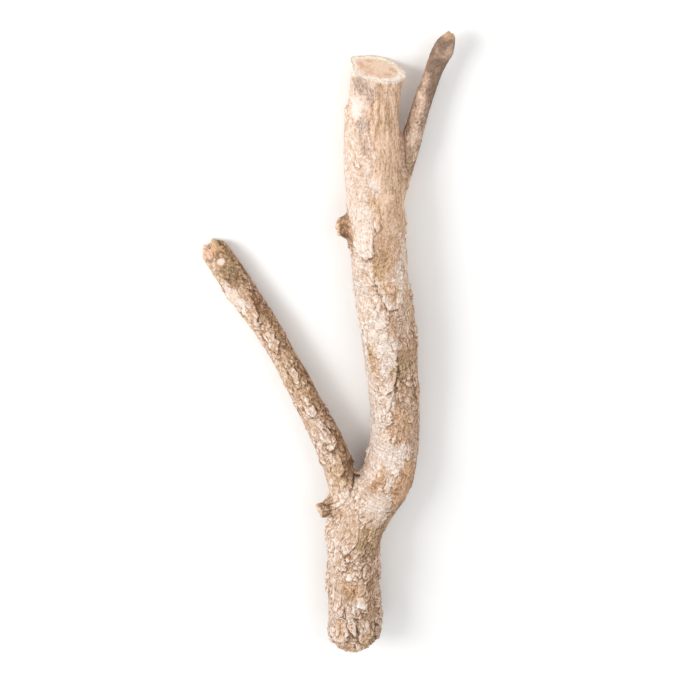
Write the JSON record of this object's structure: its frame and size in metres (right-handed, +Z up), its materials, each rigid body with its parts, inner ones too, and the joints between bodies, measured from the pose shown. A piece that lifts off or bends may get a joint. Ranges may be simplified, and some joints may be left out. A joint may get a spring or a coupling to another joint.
{
  "type": "fallen tree branch",
  "caption": "Fallen tree branch with flaking bark, lying down: a short stem that forks into a sawn-off main limb and a side branch, with a twig near the limb's top.",
  "frame": {"origin": "on the surface that the branch lies on, under the middle of its bounding box", "axes": "+Y along the stem, from its thick base to the sawn top of the main limb; +Z up from the surface that it lies on; the side branch leaves towards -X"},
  "size_m": [0.1576, 0.457, 0.0417],
  "materials": {
    "bark": "rough flaking bark, cream and tan",
    "side_branch_bark": "rough scaly bark, tan and brown",
    "twig_bark": "smooth young bark, grey-brown"
  },
  "bodies": {
    "root": {"lower_stem": "bark", "main_limb": "bark", "side_branch": "side_branch_bark", "twig": "twig_bark"}
  },
  "joints": []
}
